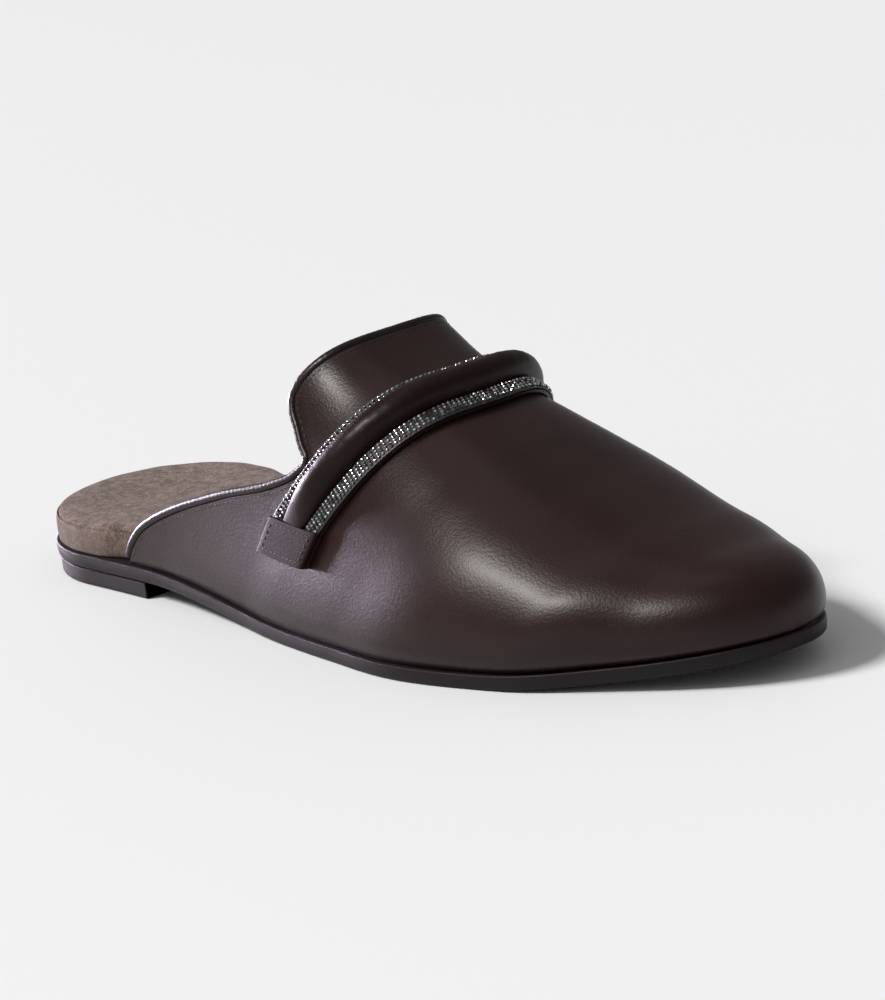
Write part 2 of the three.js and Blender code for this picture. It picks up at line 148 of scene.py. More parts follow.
# A point of the sole's outline, moved in square to it by inset millimetres.
def outlinePoint(side, share, inset=0.0):
    x, y = plainOutline(side, share)
    tip = 1e-3
    if inset == 0:
        return x, y
    if share < tip:
        return x + inset, y
    if share > 1 - tip:
        return x - inset, y
    reach = min(tip, share / 2, (1 - share) / 2)
    x1, y1 = plainOutline(side, share + reach)
    x0, y0 = plainOutline(side, share - reach)
    length = math.hypot(x1 - x0, y1 - y0)
    return x + side * inset * (y1 - y0) / length, y - side * inset * (x1 - x0) / length


def soleBottom(x):
    share = x / last["soleLength"]
    back = last["heelSeatLength"] / last["soleLength"]
    fall = 1 - smooth(share, back, lastForm["waistEnd"])
    start = lastForm["springStart"]
    spring = max(0.0, (share - start) / (1 - start))
    return last["heelLift"] * fall + last["toeSpring"] * spring ** lastForm["springPower"]


def soleTop(x):
    return soleBottom(x) + last["soleThickness"]


def angleAt(up):
    return math.asin(min(1.0, max(0.0, up)) ** (1 / wallPower))


# The upper's outer face: share runs along the sole, angle climbs from the outer side over to the inner.
def upperPoint(share, angle):
    side = 1 if angle > math.pi / 2 else -1
    climb = math.pi - angle if angle > math.pi / 2 else angle
    footX, footY = outlinePoint(side, share, last["featherInset"])
    middleX = (footX + outlinePoint(-side, share, last["featherInset"])[0]) / 2
    middleY = centreLine(share)
    base = soleTop(middleX) + last["clearance"]
    ending = max(0.0, 1 - pastToe(share) ** lastForm["toeDropPower"]) ** (1 / lastForm["toePower"])
    height = riseShare(share) * last["instepHeight"] * ending
    ahead = leadShare(share) * last["soleLength"] * ending
    out = max(0.0, math.cos(climb)) ** crownAt(share)
    up = max(0.0, math.sin(climb)) ** wallPower
    swell = last["sideBulge"] * lastForm["bulgeGain"] * math.sqrt(up) * (1 - up) ** 2 \
        * min(1.0, height / lastForm["bulgeHeight"])
    reachX = footX - middleX
    reachY = footY - middleY
    length = math.hypot(reachX, reachY)
    grown = out + swell / length if length > 1e-6 else out
    return Vector((
        middleX + reachX * out + ahead * up + swell * pastToe(share) * lastForm["toeBulge"],
        middleY + reachY * min(grown, out + lastForm["bulgeLimit"]),
        base + (soleTop(footX) - soleTop(middleX)) * out + height * up,
    ))


def upperNormal(share, angle):
    tip = 0.9995
    shareStep = 1e-3
    angleStep = 2e-3
    foot = 0.02
    if share > tip:
        return Vector((1, 0, 0))
    ds = min(shareStep, (1 - share) / 2)
    along = upperPoint(share + ds, angle) - upperPoint(share - ds, angle)
    around = upperPoint(share, min(math.pi, angle + angleStep)) \
        - upperPoint(share, max(0.0, angle - angleStep))
    normal = along.cross(around).normalized()
    if angle < foot or angle > math.pi - foot:
        normal.z = 0
        normal.normalize()
    return normal


# From the source's millimetres to the frame's metres.
def placed(point):
    return Vector((
        (point[0] - last["originX"]) / 1000,
        (point[1] - last["originY"]) / 1000,
        point[2] / 1000,
    ))


def deselect():
    if bpy.context.object and bpy.context.object.mode != "OBJECT":
        bpy.ops.object.mode_set(mode="OBJECT")
    bpy.ops.object.select_all(action="DESELECT")


# A grid primitive whose points are set out by place(u, v), with u along the shoe and v around it.
def shapedGrid(name, along, around, place):
    deselect()
    bpy.ops.mesh.primitive_grid_add(x_subdivisions=along, y_subdivisions=around, size=1)
    piece = bpy.context.object
    piece.name = name
    piece.data.name = name
    for vertex in piece.data.vertices:
        vertex.co = placed(place(vertex.co.x + 0.5, vertex.co.y + 0.5))
    return piece


def joined(name, parts):
    deselect()
    for part in parts:
        part.select_set(True)
    bpy.context.view_layer.objects.active = parts[0]
    bpy.ops.object.join()
    piece = bpy.context.object
    piece.name = name
    piece.data.name = name
    return piece


def welded(piece, distance=0.00002):
    deselect()
    piece.select_set(True)
    bpy.context.view_layer.objects.active = piece
    bpy.ops.object.mode_set(mode="EDIT")
    bpy.ops.mesh.select_all(action="SELECT")
    bpy.ops.mesh.remove_doubles(threshold=distance)
    bpy.ops.mesh.normals_make_consistent(inside=False)
    bpy.ops.object.mode_set(mode="OBJECT")
    return piece


def softened(piece, angle=40):
    deselect()
    piece.select_set(True)
    bpy.context.view_layer.objects.active = piece
    bpy.ops.object.shade_smooth_by_angle(angle=math.radians(angle))
    return piece


def withModifier(piece, kind, **settings):
    deselect()
    piece.select_set(True)
    bpy.context.view_layer.objects.active = piece
    modifier = piece.modifiers.new(kind.lower(), kind)
    for key, value in settings.items():
        setattr(modifier, key, value)
    bpy.ops.object.modifier_apply(modifier=modifier.name)
    return piece


def finished(piece, material, slotName, *nodes):
    piece.data.materials.clear()
    piece.data.materials.append(material)
    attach(piece, "root")
    if nodes:
        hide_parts(*nodes)


# Materials: the shared groups first, then one function for each kind of surface.
def newGroup(name, inputs, outputs):
    group = bpy.data.node_groups.new(name, "ShaderNodeTree")
    for label, kind, value in inputs:
        socket = group.interface.new_socket(label, in_out="INPUT", socket_type=kind)
        if value is not None:
            socket.default_value = value
    for label, kind in outputs:
        group.interface.new_socket(label, in_out="OUTPUT", socket_type=kind)
    return group, group.nodes.new("NodeGroupInput"), group.nodes.new("NodeGroupOutput")


def addNode(tree, kind, **settings):
    node = tree.nodes.new(kind)
    for key, value in settings.items():
        setattr(node, key, value)
    return node


def link(tree, source, target):
    tree.links.new(source, target)


def mathNode(tree, operation, first, second=None):
    node = addNode(tree, "ShaderNodeMath", operation=operation)
    for socket, value in zip(node.inputs, (first, second)):
        if value is None:
            continue
        if isinstance(value, (int, float)):
            socket.default_value = value
        else:
            link(tree, value, socket)
    return node.outputs[0]


def mixColour(tree, factor, first, second):
    node = addNode(tree, "ShaderNodeMix", data_type="RGBA")
    for socket, value in ((node.inputs[0], factor), (node.inputs[6], first), (node.inputs[7], second)):
        if isinstance(value, (int, float, tuple)):
            socket.default_value = value
        else:
            link(tree, value, socket)
    return node.outputs[2]


def rangeNode(tree, value, low, high, toLow, toHigh):
    node = addNode(tree, "ShaderNodeMapRange")
    link(tree, value, node.inputs[0])
    for socket, number in zip(node.inputs[1:5], (low, high, toLow, toHigh)):
        socket.default_value = number
    return node.outputs[0]


# Hide grain: small rounded cells, finer pores, long soft waves, and cloudy variation of tone.
def makeHideGrain():
    group, given, made = newGroup(
        "hideGrain",
        [("Vector", "NodeSocketVector", None), ("Cell Size", "NodeSocketFloat", 0.001),
         ("Cell Depth", "NodeSocketFloat", 1.0), ("Pore Depth", "NodeSocketFloat", 0.5),
         ("Wave Depth", "NodeSocketFloat", 1.0)],
        [("Height", "NodeSocketFloat"), ("Cloud", "NodeSocketFloat"), ("Cells", "NodeSocketFloat")])
    scale = mathNode(group, "DIVIDE", 1.0, given.outputs["Cell Size"])
    cells = addNode(group, "ShaderNodeTexVoronoi", feature="SMOOTH_F1")
    cells.inputs["Smoothness"].default_value = 0.6
    warp = addNode(group, "ShaderNodeTexNoise")
    warp.inputs["Scale"].default_value = 300
    warp.inputs["Detail"].default_value = 2
    link(group, given.outputs["Vector"], warp.inputs["Vector"])
    warped = addNode(group, "ShaderNodeVectorMath", operation="MULTIPLY_ADD")
    link(group, warp.outputs["Color"], warped.inputs[0])
    warped.inputs[1].default_value = (0.0009, 0.0009, 0.0009)
    link(group, given.outputs["Vector"], warped.inputs[2])
    link(group, warped.outputs[0], cells.inputs["Vector"])
    link(group, scale, cells.inputs["Scale"])
    pores = addNode(group, "ShaderNodeTexNoise")
    pores.inputs["Detail"].default_value = 4
    pores.inputs["Roughness"].default_value = 0.6
    link(group, given.outputs["Vector"], pores.inputs["Vector"])
    link(group, mathNode(group, "MULTIPLY", scale, 2.4), pores.inputs["Scale"])
    waves = addNode(group, "ShaderNodeTexNoise")
    waves.inputs["Scale"].default_value = 55
    waves.inputs["Detail"].default_value = 3
    link(group, given.outputs["Vector"], waves.inputs["Vector"])
    cloud = addNode(group, "ShaderNodeTexNoise")
    cloud.inputs["Scale"].default_value = 22
    cloud.inputs["Detail"].default_value = 5
    cloud.inputs["Roughness"].default_value = 0.6
    link(group, given.outputs["Vector"], cloud.inputs["Vector"])
    height = mathNode(group, "MULTIPLY", cells.outputs["Distance"], given.outputs["Cell Depth"])
    height = mathNode(group, "ADD", height, mathNode(
        group, "MULTIPLY", pores.outputs["Fac"], given.outputs["Pore Depth"]))
    height = mathNode(group, "ADD", height, mathNode(
        group, "MULTIPLY", waves.outputs["Fac"], given.outputs["Wave Depth"]))
    link(group, height, made.inputs["Height"])
    link(group, cloud.outputs["Fac"], made.inputs["Cloud"])
    link(group, cells.outputs["Distance"], made.inputs["Cells"])
    return group


# A short brushed nap: fine fibres over larger cloudy patches.
def makeNap():
    group, given, made = newGroup(
        "suedeNap",
        [("Vector", "NodeSocketVector", None), ("Fibre Size", "NodeSocketFloat", 0.0006)],
        [("Height", "NodeSocketFloat"), ("Patches", "NodeSocketFloat"), ("Fibres", "NodeSocketFloat")])
    scale = mathNode(group, "DIVIDE", 1.0, given.outputs["Fibre Size"])
    patches = addNode(group, "ShaderNodeTexNoise")
    patches.inputs["Scale"].default_value = 360
    patches.inputs["Detail"].default_value = 6
    patches.inputs["Roughness"].default_value = 0.68
    patches.inputs["Distortion"].default_value = 0.6
    link(group, given.outputs["Vector"], patches.inputs["Vector"])
    fibres = addNode(group, "ShaderNodeTexNoise")
    fibres.inputs["Detail"].default_value = 5
    fibres.inputs["Roughness"].default_value = 0.7
    link(group, given.outputs["Vector"], fibres.inputs["Vector"])
    link(group, scale, fibres.inputs["Scale"])
    height = mathNode(group, "ADD", mathNode(group, "MULTIPLY", fibres.outputs["Fac"], 0.6),
                      patches.outputs["Fac"])
    link(group, height, made.inputs["Height"])
    link(group, patches.outputs["Fac"], made.inputs["Patches"])
    link(group, fibres.outputs["Fac"], made.inputs["Fibres"])
    return group


hideGrain = makeHideGrain()
suedeNap = makeNap()


def newMaterial(name):
    material = bpy.data.materials.new(name)
    material.use_nodes = True
    tree = material.node_tree
    shader = tree.nodes["Principled BSDF"]
    place = addNode(tree, "ShaderNodeTexCoord").outputs["Object"]
    return material, tree, shader, place


def bumped(tree, shader, height, strength, distance):
    bump = addNode(tree, "ShaderNodeBump")
    bump.inputs["Strength"].default_value = strength
    bump.inputs["Distance"].default_value = distance
    link(tree, height, bump.inputs["Height"])
    link(tree, bump.outputs["Normal"], shader.inputs["Normal"])


def leatherMaterial(name, look):
    material, tree, shader, place = newMaterial(name)
    grain = addNode(tree, "ShaderNodeGroup", node_tree=hideGrain)
    link(tree, place, grain.inputs["Vector"])
    for label, key in (("Cell Size", "cellSize"), ("Cell Depth", "cellDepth"),
                       ("Pore Depth", "poreDepth"), ("Wave Depth", "waveDepth")):
        grain.inputs[label].default_value = look[key]
    tone = rangeNode(tree, grain.outputs["Cloud"], 0.3, 0.7, 0.0, 1.0)
    colour = mixColour(tree, tone, look["dark"], look["light"])
    # Below lowDarkTop the colour turns darker towards the bottom, unevenly with the cloud.
    if "lowDarkColour" in look:
        split = addNode(tree, "ShaderNodeSeparateXYZ")
        link(tree, place, split.inputs[0])
        low = rangeNode(tree, split.outputs["Z"], look["lowDarkTop"], 0.004, 0.0, 1.0)
        uneven = mathNode(tree, "MULTIPLY", low,
                          rangeNode(tree, grain.outputs["Cloud"], 0.2, 0.8, 0.6, 1.0))
        colour = mixColour(tree, uneven, colour, look["lowDarkColour"])
    # Painted shade: the grain's pits, its lowest points, are darkened towards the pit colour by pitShade.
    pits = rangeNode(tree, grain.outputs["Cells"], 0.0, 0.9, 1.0, 0.0)
    colour = mixColour(tree, mathNode(tree, "MULTIPLY", pits, look["pitShade"]), colour, look["pit"])
    link(tree, colour, shader.inputs["Base Color"])
    rough = rangeNode(tree, grain.outputs["Cloud"], 0.25, 0.75, look["roughLow"], look["roughHigh"])
    link(tree, rough, shader.inputs["Roughness"])
    shader.inputs["Coat Weight"].default_value = look["coat"]
    shader.inputs["Coat Roughness"].default_value = look["coatRoughness"]
    shader.inputs["Specular IOR Level"].default_value = look["gloss"]
    bumped(tree, shader, grain.outputs["Height"], look["bump"], look["bumpDistance"])
    return material


calfLook = {
    "dark": (0.0165, 0.0055, 0.0046, 1), "light": (0.026, 0.0092, 0.0078, 1),
    "lowDarkColour": (0.0115, 0.0048, 0.005, 1), "lowDarkTop": 0.016,
    "pit": (0.0105, 0.0042, 0.0038, 1), "pitShade": 0.3,
    "roughLow": 0.31, "roughHigh": 0.41, "coat": 0.05, "coatRoughness": 0.24, "gloss": 0.2,
    "cellSize": 0.0007, "cellDepth": 0.6, "poreDepth": 0.6, "waveDepth": 0.14,
    "bump": 0.4, "bumpDistance": 0.00014,
}
bindingLook = dict(calfLook, dark=(0.013, 0.0068, 0.0072, 1), light=(0.02, 0.011, 0.0118, 1),
                   roughLow=0.34, roughHigh=0.42, lowDarkTop=0.008)
# Painted shade: the strap, its roll and the tabs are the upper's calf, with dark and light colours darker
# than the calf's.
shadedStrapLook = dict(calfLook, dark=(0.0115, 0.0045, 0.0041, 1), light=(0.0185, 0.0074, 0.0065, 1),
                 roughLow=0.38, roughHigh=0.48, gloss=0.1)
shadedTabLook = dict(shadedStrapLook, roughLow=0.46, roughHigh=0.56, gloss=0.04, coat=0.0)
soleLook = {
    "dark": (0.0095, 0.0066, 0.0076, 1), "light": (0.017, 0.012, 0.0138, 1),
    "pit": (0.006, 0.0045, 0.005, 1), "pitShade": 0.35,
    "roughLow": 0.42, "roughHigh": 0.58, "coat": 0.02, "coatRoughness": 0.35, "gloss": 0.14,
    "cellSize": 0.0007, "cellDepth": 0.5, "poreDepth": 0.9, "waveDepth": 0.6,
    "bump": 0.4, "bumpDistance": 0.00015,
}
liningLook = dict(calfLook, dark=(0.14, 0.098, 0.078, 1), light=(0.19, 0.138, 0.112, 1),
                  pit=(0.09, 0.06, 0.05, 1), roughLow=0.5, roughHigh=0.62, coat=0.0,
                  cellSize=0.0008, gloss=0.4)
liningLook.pop("lowDarkColour")
calf = leatherMaterial("calfLeather", calfLook)
bindingLeather = leatherMaterial("bindingLeather", bindingLook)
shadedStrapLeather = leatherMaterial("shadedStrapLeather", shadedStrapLook)
shadedTabLeather = leatherMaterial("shadedTabLeather", shadedTabLook)
soleLeather = leatherMaterial("soleLeather", soleLook)
lining = leatherMaterial("liningLeather", liningLook)


suedeLook = {
    "dark": (0.082, 0.056, 0.046, 1), "light": (0.34, 0.245, 0.203, 1), "fibreSize": 0.00055,
    "rim": (0.12, 0.075, 0.06, 1), "rimTop": 0.0158, "rimFoot": 0.0142, "rimShade": 0.5,
    "sheen": 0.2, "bump": 0.95, "bumpDistance": 0.0005,
}


# Painted shade: below the footbed's top, on the rim and on the low footbed inside the shoe, the colour is
# warmer and darker.
def suedeMaterial():
    look = suedeLook
    material, tree, shader, place = newMaterial("suedeFootbed")
    nap = addNode(tree, "ShaderNodeGroup", node_tree=suedeNap)
    link(tree, place, nap.inputs["Vector"])
    nap.inputs["Fibre Size"].default_value = look["fibreSize"]
    tone = mathNode(tree, "ADD", rangeNode(tree, nap.outputs["Patches"], 0.42, 0.6, 0.0, 0.5),
                    rangeNode(tree, nap.outputs["Fibres"], 0.43, 0.58, 0.0, 0.5))
    colour = mixColour(tree, tone, look["dark"], look["light"])
    split = addNode(tree, "ShaderNodeSeparateXYZ")
    link(tree, place, split.inputs[0])
    # Painted shade, warmer and darker, below rimTop.
    low = rangeNode(tree, split.outputs["Z"], look["rimTop"], look["rimFoot"], 0.0, look["rimShade"])
    link(tree, mixColour(tree, low, colour, look["rim"]), shader.inputs["Base Color"])
    shader.inputs["Roughness"].default_value = 0.95
    shader.inputs["Specular IOR Level"].default_value = 0.15
    shader.inputs["Sheen Weight"].default_value = look["sheen"]
    shader.inputs["Sheen Roughness"].default_value = 0.5
    bumped(tree, shader, nap.outputs["Height"], look["bump"], look["bumpDistance"])
    return material


threadLook = {"dark": (0.01, 0.0055, 0.0052, 1), "light": (0.034, 0.019, 0.017, 1)}


def threadMaterial():
    material, tree, shader, place = newMaterial("brownThread")
    twist = addNode(tree, "ShaderNodeTexWave")
    twist.inputs["Scale"].default_value = 1400
    twist.inputs["Distortion"].default_value = 2
    link(tree, place, twist.inputs["Vector"])
    link(tree, mixColour(tree, twist.outputs["Fac"], threadLook["dark"], threadLook["light"]),
         shader.inputs["Base Color"])
    shader.inputs["Roughness"].default_value = 0.6
    bumped(tree, shader, twist.outputs["Fac"], 0.3, 0.0001)
    return material


beadLook = {
    "glass": (0.05, 0.05, 0.054, 1), "silver": (0.93, 0.93, 0.92, 1), "roughLow": 0.08, "roughHigh": 0.22,
}


# Each bead carries its own tone, from black glass to bright silvered facets.
def beadMaterial():
    material, tree, shader, place = newMaterial("silveredBeads")
    tone = addNode(tree, "ShaderNodeAttribute", attribute_name="tone").outputs["Fac"]
    film = addNode(tree, "ShaderNodeTexNoise")
    film.inputs["Scale"].default_value = 900
    link(tree, place, film.inputs["Vector"])
    worn = mathNode(tree, "MULTIPLY", tone, rangeNode(tree, film.outputs["Fac"], 0.3, 0.7, 0.75, 1.0))
    link(tree, mixColour(tree, worn, beadLook["glass"], beadLook["silver"]), shader.inputs["Base Color"])
    link(tree, rangeNode(tree, tone, 0.0, 1.0, 0.6, 1.0), shader.inputs["Metallic"])
    rough = rangeNode(tree, film.outputs["Fac"], 0.3, 0.7, beadLook["roughLow"], beadLook["roughHigh"])
    link(tree, rough, shader.inputs["Roughness"])
    return material


backingLook = {"dark": (0.006, 0.006, 0.007, 1), "light": (0.02, 0.019, 0.021, 1)}


def backingMaterial():
    material, tree, shader, place = newMaterial("blackBacking")
    weave = addNode(tree, "ShaderNodeTexVoronoi")
    weave.inputs["Scale"].default_value = 1600
    link(tree, place, weave.inputs["Vector"])
    tone = weave.outputs["Distance"]
    link(tree, mixColour(tree, tone, backingLook["dark"], backingLook["light"]), shader.inputs["Base Color"])
    shader.inputs["Roughness"].default_value = 0.55
    bumped(tree, shader, tone, 0.5, 0.0002)
    return material


suede = suedeMaterial()
thread = threadMaterial()
beadFinish = beadMaterial()
backing = backingMaterial()
print("materials made")

# The upper: quarters, tongue and vamp as one skin, then its wall; the lining lies under it.
upperSize = {
    "vampRows": 96, "sideColumns": 18, "topColumns": 40, "quarterRows": 56, "tongueRows": 30,
    "hideThickness": 0.95, "liningThickness": 0.75, "liningGap": 0.01, "liningTip": 0.97,
}
# Soft troughs and ridges in the leather: section, climb round it in degrees, how far each
# reaches along and around, how deep in millimetres, and how much it slants.
softFolds = [
    {"at": 0.575, "climb": 62, "along": 0.02, "around": 26, "depth": 0.11, "slant": 0.0010},
    {"at": 0.615, "climb": 74, "along": 0.016, "around": 30, "depth": -0.08, "slant": 0.0006},
    {"at": 0.655, "climb": 108, "along": 0.018, "around": 28, "depth": 0.10, "slant": -0.0007},
    {"at": 0.7, "climb": 52, "along": 0.03, "around": 18, "depth": 0.07, "slant": 0.0012},
    {"at": 0.6, "climb": 130, "along": 0.02, "around": 20, "depth": 0.10, "slant": -0.0012},
    {"at": 0.33, "climb": 12, "along": 0.05, "around": 10, "depth": 0.11, "slant": 0.0},
    {"at": 0.33, "climb": 168, "along": 0.05, "around": 10, "depth": 0.11, "slant": 0.0},
    {"at": 0.37, "climb": 80, "along": 0.016, "around": 26, "depth": 0.10, "slant": 0.0003},
    {"at": 0.82, "climb": 90, "along": 0.045, "around": 30, "depth": -0.07, "slant": 0.0},
]


def foldDepth(share, angle):
    depth = 0.0
    climb = math.degrees(angle)
    for fold in softFolds:
        offset = climb - fold["climb"]
        across = (share - fold["at"] - fold["slant"] * offset) / fold["along"]
        depth += fold["depth"] * math.exp(-across * across - (offset / fold["around"]) ** 2)
    return depth


def skinPoint(share, angle, lift=0.0):
    return upperPoint(share, angle) + upperNormal(share, angle) * (lift - foldDepth(share, angle))


def edgeCurve(table):
    steps = [i / (len(table) - 1) for i in range(len(table))]
    foot = curveThrough(steps, [row[0] for row in table])
    up = curveThrough(steps, [row[1] for row in table])
    return lambda t: (foot(t), angleAt(up(t)))


quarterAt = edgeCurve(quarterEdge)
tongueAt = edgeCurve(tongueEdge)
neckShare, neckAngle = quarterAt(1)


def tongueDip(v):
    return tongueTopDip / last["soleLength"] * math.sin(math.pi * v) ** 1.5


def upperSkin(name, lift, tip):
    size = upperSize

    def quarter(mirror):
        def place(u, v):
            share, angle = quarterAt(u)
            return skinPoint(share, math.pi - angle * (1 - v) if mirror else angle * v, lift)
        return place

    def tongue(u, v):
        share, angle = tongueAt(1 - u)
        return skinPoint(share + tongueDip(v) * (1 - u), angle + (math.pi - 2 * angle) * v, lift)

    def vamp(start, end):
        def place(u, v):
            share = neckShare + (tip - neckShare) * math.sin(math.pi / 2 * u)
            return skinPoint(share, start + (end - start) * v, lift)
        return place

    return welded(joined(name, [
        shapedGrid(name, size["quarterRows"], size["sideColumns"], quarter(False)),
        shapedGrid("quarterB", size["quarterRows"], size["sideColumns"], quarter(True)),
        shapedGrid("tongueC", size["tongueRows"], size["topColumns"], tongue),
        shapedGrid("vampD", size["vampRows"], size["sideColumns"], vamp(0, neckAngle)),
        shapedGrid("vampE", size["vampRows"], size["topColumns"], vamp(neckAngle, math.pi - neckAngle)),
        shapedGrid("vampF", size["vampRows"], size["sideColumns"], vamp(math.pi - neckAngle, math.pi)),
    ]))


def makeUpper():
    size = upperSize
    hide = upperSkin("upper_leather", 0.0, 1.0)
    withModifier(hide, "SOLIDIFY", thickness=size["hideThickness"] / 1000, offset=-1)
    softened(hide, 50)
    finished(hide, calf, "upper_leather", "upper")
    inner = upperSkin("upper_lining", -size["hideThickness"] - size["liningGap"], size["liningTip"])
    withModifier(inner, "SOLIDIFY", thickness=size["liningThickness"] / 1000, offset=-1)
    softened(inner, 50)
    finished(inner, lining, "upper_leather", "upper")


makeUpper()
print("upper made")


# A path on the upper's surface, given as (share, angle) pairs, stepped evenly by length.
class SurfacePath:
    def __init__(self, pairs, lift=0.0):
        self.pairs = pairs
        points = [skinPoint(share, angle, lift) for share, angle in pairs]
        lengths = [0.0]
        for before, after in zip(points, points[1:]):
            lengths.append(lengths[-1] + (after - before).length)
        self.lengths = np.array(lengths)
        self.total = lengths[-1]

    def pair(self, distance):
        share = float(np.interp(distance, self.lengths, [p[0] for p in self.pairs]))
        angle = float(np.interp(distance, self.lengths, [p[1] for p in self.pairs]))
        return share, angle

    # Point, outward normal, forward tangent and the direction to the left of travel.
    def frame(self, distance, lift=0.0):
        share, angle = self.pair(distance)
        here = skinPoint(share, angle, lift)
        normal = upperNormal(share, angle)
        ahead = skinPoint(*self.pair(min(distance + 0.4, self.total)), lift)
        behind = skinPoint(*self.pair(max(distance - 0.4, 0)), lift)
        tangent = (ahead - behind).normalized()
        aside = normal.cross(tangent).normalized()
        normal = tangent.cross(aside).normalized()
        return here, normal, tangent, aside


# One stitch is a small pulled-in capsule; it is copied along a path and the copies are joined.
def makeStitch(length, width):
    deselect()
    bpy.ops.mesh.primitive_uv_sphere_add(segments=8, ring_count=6, radius=0.5)
    stitch = bpy.context.object
    stitch.name = "stitch"
    for vertex in stitch.data.vertices:
        x, y, z = vertex.co
        pinch = 1 - 0.35 * abs(2 * z) ** 2
        vertex.co = (z * length / 1000, x * width / 1000 * pinch, y * width / 1000 * pinch)
    return stitch


def placedCopy(model, point, tangent, aside, normal, scale=1.0):
    copy = model.copy()
    copy.data = model.data.copy()
    bpy.context.collection.objects.link(copy)
    turn = Matrix((tangent, aside, normal)).transposed().to_4x4()
    copy.data.transform(Matrix.Translation(placed(point)) @ turn @ Matrix.Scale(scale, 4))
    return copy


def stitchRow(name, frames, length, width):
    model = makeStitch(length, width)
    copies = [placedCopy(model, point, tangent, aside, normal)
              for point, normal, tangent, aside in frames]
    deselect()
    model.select_set(True)
    bpy.ops.object.delete()
    row = joined(name, copies)
    softened(row, 60)
    finished(row, thread, "upper_leather")


# The folded binding along the topline.
bindingSize = {
    "width": 2.3, "proud": 0.5, "gap": 0.1, "around": 16, "along": 460,
    "start": 0.02, "quarterSteps": 160, "tongueSteps": 90, "topSteps": 80,
    "cornerPower": 0.8, "pucker": 0.03, "endRound": 1.2, "stitchStart": 4.0, "stitchLift": 0.02,
    "stitchInset": 0.95, "stitchLength": 1.2, "stitchPitch": 1.8, "stitchWidth": 0.28,
}


# The topline from one quarter's foot over the tongue to the other's, as pairs of share and angle.
def toplinePairs():
    start = bindingSize["start"]
    quarterSteps = bindingSize["quarterSteps"]
    tongueSteps = bindingSize["tongueSteps"]
    topSteps = bindingSize["topSteps"]
    half = [quarterAt(start + (1 - start) * i / quarterSteps) for i in range(quarterSteps + 1)]
    half += [tongueAt(i / tongueSteps) for i in range(1, tongueSteps + 1)]
    cornerShare, cornerAngle = tongueAt(1)
    for i in range(1, topSteps // 2 + 1):
        v = i / topSteps
        half.append((cornerShare + tongueDip(v), cornerAngle + (math.pi - 2 * cornerAngle) * v))
    return half + [(share, math.pi - angle) for share, angle in reversed(half[:-1])]


# A point of a rounded square of half width 1, for the share v of a turn.
def roundedSquare(v, cornerPower):
    cosine = math.cos(2 * math.pi * v)
    sine = math.sin(2 * math.pi * v)
    return (math.copysign(abs(cosine) ** cornerPower, cosine),
            math.copysign(abs(sine) ** cornerPower, sine))


def makeBinding():
    size = bindingSize
    path = SurfacePath(toplinePairs())
    ringCache = {}

    def place(u, v):
        distance = u * path.total
        if u not in ringCache:
            point, normal, tangent, aside = path.frame(distance)
            ringCache[u] = (point, normal, aside)
        point, normal, aside = ringCache[u]
        wallHalf = last["wall"] / 2
        fromEnd = min(distance, path.total - distance)
        ends = math.sqrt(max(0.0, 1 - max(0.0, 1 - fromEnd / size["endRound"]) ** 2))
        pucker = 1 + size["pucker"] * math.sin(distance * 2 * math.pi / size["stitchPitch"])
        side, rise = roundedSquare(v, size["cornerPower"])
        across = size["width"] / 2 * side
        thick = (wallHalf + size["proud"]) * pucker * rise
        middle = point + aside * (size["gap"] + size["width"] / 2) - normal * wallHalf
        return middle + (aside * across + normal * thick) * ends

    binding = shapedGrid("topline_roll", size["along"], size["around"], place)
    welded(binding)
    softened(binding, 70)
    finished(binding, bindingLeather, "upper_leather", "topline_binding")

    frames = []
    distance = size["stitchStart"]
    while distance < path.total - size["stitchStart"]:
        point, normal, tangent, aside = path.frame(distance, size["stitchLift"])
        frames.append((point - aside * size["stitchInset"], normal, tangent, aside))
        distance += size["stitchPitch"]
    stitchRow("topline_stitches", frames, size["stitchLength"], size["stitchWidth"])


makeBinding()
print("binding made")

# The outsole and heel: rings like the solids', at a finer step, with eased edges.
soleSize = {"along": 170, "edge": 0.45, "tip": 0.0009, "heelTaper": 0.6, "heelAlong": 60}
# Rows of the heel from the floor up: height, and how far in from its outline, in millimetres.
heelRows = [(0.0, 0.55), (0.25, 0.1), (0.5, 0.0), (1.4, 0.0)]


# Steps along the outline, close together at both ends.
def crowded(t):
    tip = soleSize["tip"]
    return tip + (1 - 2 * tip) * (1 - math.cos(math.pi * t)) / 2


# Rings round the sole: one side's profile of insets and heights, mirrored on the other side.
def ringGrid(name, along, profile, shareOf):
    count = len(profile)

    def place(u, v):
        share = shareOf(u)
        slot = v * 2 * count
        index = int(round(slot)) % (2 * count)
        side = -1 if index < count else 1
        k = count - 1 - index if side < 0 else index - count
        inset, height = profile[k]
        x, y = outlinePoint(side, share, inset)
        return Vector((x, y, height(x)))

    # One more column than the ring has points, so that the last falls on the first.
    return shapedGrid(name, along, 2 * count, place)


def closedEnds(piece):
    deselect()
    piece.select_set(True)
    bpy.context.view_layer.objects.active = piece
    bpy.ops.object.mode_set(mode="EDIT")
    bpy.ops.mesh.select_all(action="SELECT")
    bpy.ops.mesh.remove_doubles(threshold=0.000005)
    bpy.ops.mesh.select_all(action="DESELECT")
    bpy.ops.mesh.select_mode(type="EDGE")
    bpy.ops.mesh.select_non_manifold()
    bpy.ops.mesh.fill()
    bpy.ops.mesh.select_all(action="SELECT")
    bpy.ops.mesh.normals_make_consistent(inside=False)
    bpy.ops.mesh.select_mode(type="VERT")
    bpy.ops.object.mode_set(mode="OBJECT")
    return piece


